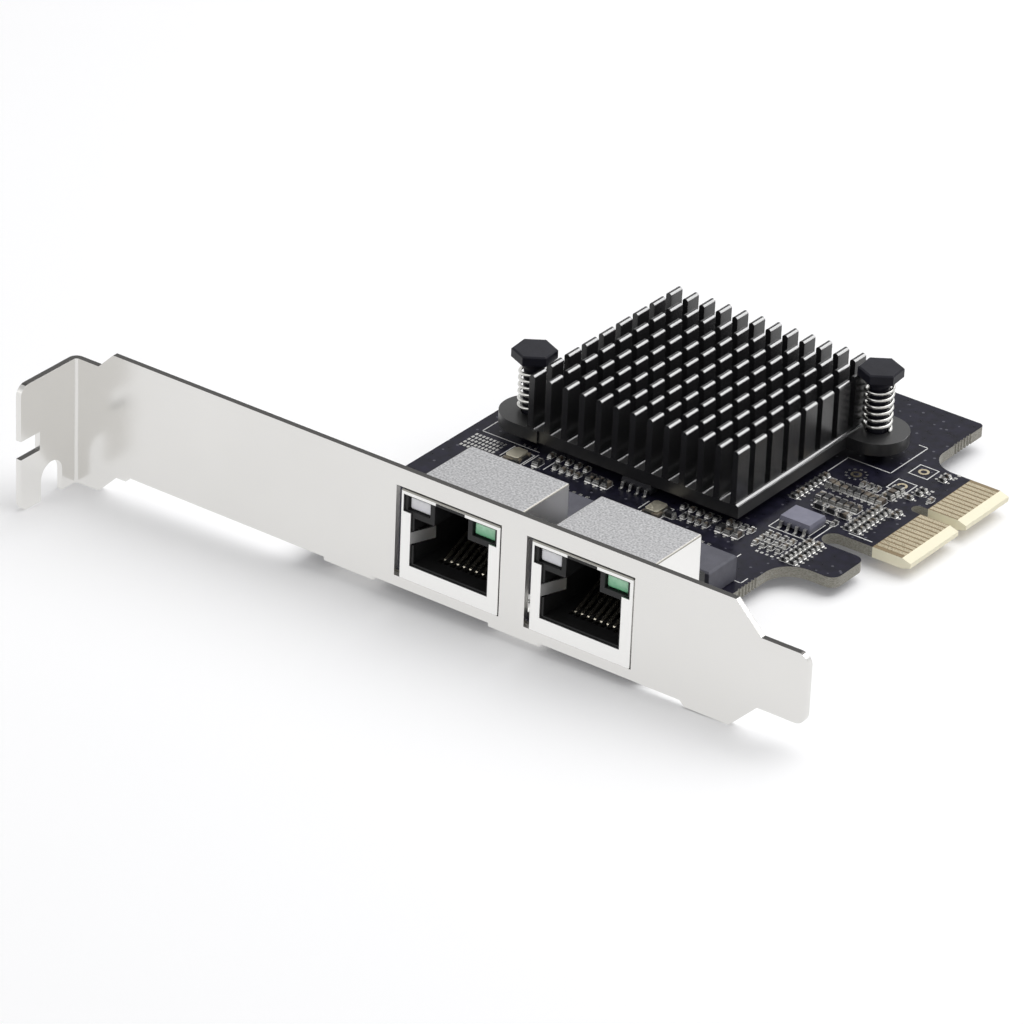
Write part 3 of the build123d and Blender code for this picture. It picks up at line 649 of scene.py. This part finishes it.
def make_pads():
    """Bare tinned pads in rows, and the dots round the large plated hole."""
    shape = bmesh.new()
    for (x, y), (step_x, step_y), count, (width, length) in PAD_ROWS:
        for number in range(count):
            add_pad(shape, x + number * step_x, y + number * step_y, width, length)
    for x, y, _ in level_ring(*DOT_RING, BOARD_TOP, DOT_RING_RADIUS, DOT_COUNT):
        add_pad(shape, x, y, DOT_SIZE, DOT_SIZE)
    add_piece("bare_pads", shape, MATERIALS["tinned_leads"])


def outward(low, high, body):
    """The axis and the sign of the way from a chip part's middle out over a terminal."""
    away = (low + high) / 2 - body
    along = 0 if abs(away.x) > abs(away.y) else 1
    return along, 1 if away[along] > 0 else -1


def make_solder(ends):
    """A solder fillet outside each terminal of the chip capacitors and resistors."""
    shape = bmesh.new()
    for low, high, body in ends:
        along, sign = outward(low, high, body)
        across = 1 - along
        wall = high[along] if sign > 0 else low[along]
        sides = (low[across] - SOLDER_SIDE, high[across] + SOLDER_SIDE)
        rise = (high.z - low.z) * SOLDER_RISE
        profile = (
            (0, 0),
            (SOLDER_REACH, 0),
            (SOLDER_REACH, PAD_HEIGHT),
            (SOLDER_REACH / 3, rise / 3),
            (0, rise),
        )
        rings = []
        for side in sides:
            ring = []
            for out, up in profile:
                spot = [0, 0, BOARD_TOP + up]
                spot[along] = wall + sign * out
                spot[across] = side
                ring.append(spot)
            rings.append(ring)
        add_solid(shape, rings)
    add_piece("solder_fillets", shape, MATERIALS["tinned_leads"])


def make_vias(parts, ends):
    """A small round via beyond each terminal, where no other part lies."""
    shape = bmesh.new()
    for low, high, body in ends:
        along, sign = outward(low, high, body)
        spot = (low + high) / 2
        spot[along] = (high[along] if sign > 0 else low[along]) + sign * VIA_REACH
        reach = VIA_RADIUS + VIA_CLEAR
        blocked = any(
            part_low.x - reach < spot.x < part_high.x + reach
            and part_low.y - reach < spot.y < part_high.y + reach
            for part_low, part_high in parts
        )
        if blocked:
            continue
        levels = (BOARD_TOP, BOARD_TOP + PAD_HEIGHT)
        add_solid(shape, [level_ring(spot.x, spot.y, level, VIA_RADIUS, VIA_SIDES) for level in levels])
    add_piece("small_vias", shape, MATERIALS["tinned_leads"])


def make_cones():
    """A solder cone under the board at each contact tail."""
    shape = bmesh.new()
    for side in ("left", "right"):
        for low, high in islands(f"{side}_port_contacts", below=BOARD_BOTTOM):
            x, y, _ = (low + high) / 2
            rings = []
            for radius, depth in CONE_STEPS:
                rings.append(level_ring(x, y, BOARD_BOTTOM - depth, radius, CONE_SIDES))
            add_solid(shape, rings)
    add_piece("solder_cones", shape, MATERIALS["tinned_leads"], smooth=True)


def make_spring(side):
    """A round wire coil in the place of the node's plain one."""
    node = f"{side}_pin_spring"
    low, high = node_box(node)
    middle = (low + high) / 2
    radius = (high.x - low.x) / 2 - SPRING_WIRE
    rise = high.z - low.z - 2 * SPRING_WIRE
    shape = bmesh.new()
    count = round(SPRING_TURNS * SPRING_STEPS)
    rings = []
    for step in range(count + 1):
        share = step / count
        turn = math.tau * SPRING_TURNS * share
        away = Vector((math.cos(turn), math.sin(turn), 0))
        centre = Vector((middle.x, middle.y, low.z + SPRING_WIRE + rise * share)) + away * radius
        forward = Vector((-math.sin(turn), math.cos(turn), rise / (math.tau * SPRING_TURNS * radius)))
        upward = away.cross(forward.normalized())
        ring = []
        for number in range(SPRING_SIDES):
            angle = math.tau * number / SPRING_SIDES
            offset = away * math.cos(angle) + upward * math.sin(angle)
            ring.append(centre + offset * SPRING_WIRE)
        rings.append(ring)
    add_solid(shape, rings)
    coil = add_piece(f"{side}_coil", shape, MATERIALS["spring_steel"], smooth=True)
    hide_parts(node)


def floor_plane():
    """The plane that the card rests on, as a point and its upward normal."""
    first, second, third = (Vector(point) * MM for point in REST_POINTS)
    normal = (second - first).cross(third - first).normalized()
    return first, normal


def make_floor():
    """A pale floor under the card that keeps its shadow."""
    point, normal = floor_plane()
    mesh = bpy.data.meshes.new("floor")
    thing = bpy.data.objects.new("floor", mesh)
    bpy.context.scene.collection.objects.link(thing)
    shape = bmesh.new()
    bmesh.ops.create_grid(shape, x_segments=1, y_segments=1, size=FLOOR_REACH)
    shape.to_mesh(mesh)
    shape.free()
    thing.rotation_mode = "QUATERNION"
    thing.rotation_quaternion = normal.to_track_quat("Z", "Y")
    thing.location = point
    made = new_material("floor_paper", (0.85, 0.85, 0.86), 0.0, 0.8)
    tree = made.node_tree
    output = tree.nodes["Material Output"]
    path = add(made, "ShaderNodeLightPath")
    glow = add(made, "ShaderNodeEmission")
    seen = compute(made, path.outputs["Is Camera Ray"], "MULTIPLY", FLOOR_GLOW)
    link(made, seen, glow.inputs["Strength"])
    lit = add(made, "ShaderNodeAddShader")
    link(made, shader_of(made).outputs["BSDF"], lit.inputs[0])
    link(made, glow.outputs["Emission"], lit.inputs[1])
    mirrored = compute(made, path.outputs["Is Glossy Ray"], "MULTIPLY", REFLECTED_SHARE)
    even = add(made, "ShaderNodeEmission", Strength=FLOOR_REFLECTED)
    both = add(made, "ShaderNodeMixShader")
    link(made, mirrored, both.inputs[0])
    link(made, lit.outputs["Shader"], both.inputs[1])
    link(made, even.outputs["Emission"], both.inputs[2])
    link(made, both.outputs["Shader"], output.inputs["Surface"])
    mesh.materials.append(made)


def make_world():
    """White to the camera and at the horizon of reflections, and a softer light on the rest."""
    world = bpy.data.worlds.new("studio")
    bpy.context.scene.world = world
    world.use_nodes = True
    tree = world.node_tree
    background = tree.nodes["Background"]
    path = tree.nodes.new("ShaderNodeLightPath")
    direction = tree.nodes.new("ShaderNodeTexCoord")
    parts = tree.nodes.new("ShaderNodeSeparateXYZ")
    tree.links.new(direction.outputs["Generated"], parts.inputs["Vector"])
    ceiling = tree.nodes.new("ShaderNodeMapRange")
    ceiling.inputs["From Min"].default_value = HORIZON_END
    ceiling.inputs["From Max"].default_value = CEILING_START
    ceiling.inputs["To Min"].default_value = 1.0
    ceiling.inputs["To Max"].default_value = CEILING_GLOW
    tree.links.new(parts.outputs["Z"], ceiling.inputs["Value"])
    strength = WORLD_LIGHT
    for ray, level in (
        ("Is Glossy Ray", ceiling.outputs["Result"]),
        ("Is Transmission Ray", 1.0),
        ("Is Camera Ray", 1.0),
    ):
        choice = tree.nodes.new("ShaderNodeMix")
        tree.links.new(path.outputs[ray], choice.inputs["Factor"])
        for socket, value in ((choice.inputs["A"], strength), (choice.inputs["B"], level)):
            if isinstance(value, float):
                socket.default_value = value
            else:
                tree.links.new(value, socket)
        strength = choice.outputs["Result"]
    tree.links.new(strength, background.inputs["Strength"])
    background.inputs["Color"].default_value = (1, 1, 1, 1)


def make_lamp(name, direction, distance_mm, size_mm, power, only_on=None):
    """A square soft lamp that looks at the card's middle, or one that only one piece reflects."""
    target = Vector(CAMERA_TARGET) * MM
    data = bpy.data.lights.new(name, "AREA")
    data.energy = power
    data.size = size_mm * MM
    lamp = bpy.data.objects.new(name, data)
    bpy.context.scene.collection.objects.link(lamp)
    away = Vector(direction).normalized()
    lamp.location = target + away * distance_mm * MM
    lamp.rotation_mode = "QUATERNION"
    lamp.rotation_quaternion = away.to_track_quat("Z", "Y")
    if only_on:
        lamp.visible_diffuse = False
        lit = bpy.data.collections.new(name)
        lit.objects.link(only_on)
        lamp.light_linking.receiver_collection = lit


def make_camera():
    """The photograph's camera, with its roll."""
    stand = Vector(CAMERA_PLACE)
    back = (stand - Vector(CAMERA_TARGET)).normalized()
    right = Vector((0, 0, 1)).cross(back).normalized()
    up = back.cross(right)
    roll = math.radians(CAMERA_ROLL)
    turned_right = right * math.cos(roll) + up * math.sin(roll)
    turned_up = up * math.cos(roll) - right * math.sin(roll)
    data = bpy.data.cameras.new("camera")
    data.lens = CAMERA_LENS
    data.clip_start = 0.01
    camera = bpy.data.objects.new("camera", data)
    bpy.context.scene.collection.objects.link(camera)
    turn = Matrix((turned_right, turned_up, back)).transposed().to_4x4()
    camera.matrix_world = Matrix.Translation(stand * MM) @ turn
    bpy.context.scene.camera = camera


dress_frame()
make_ink()
make_pads()
chip_boxes, terminal_boxes = chip_parts()
make_part_ink(chip_boxes)
make_solder(terminal_boxes)
make_vias(chip_boxes, terminal_boxes)
make_cones()
make_spring("left")
make_spring("right")
make_floor()
make_world()
make_lamp("back_key", *BACK_KEY)
make_lamp("front_fill", *FRONT_FILL)
make_lamp("edge_strip", *EDGE_STRIP, frame["nodes"]["heat_sink"])
make_camera()
bpy.context.scene.view_settings.view_transform = "Standard"
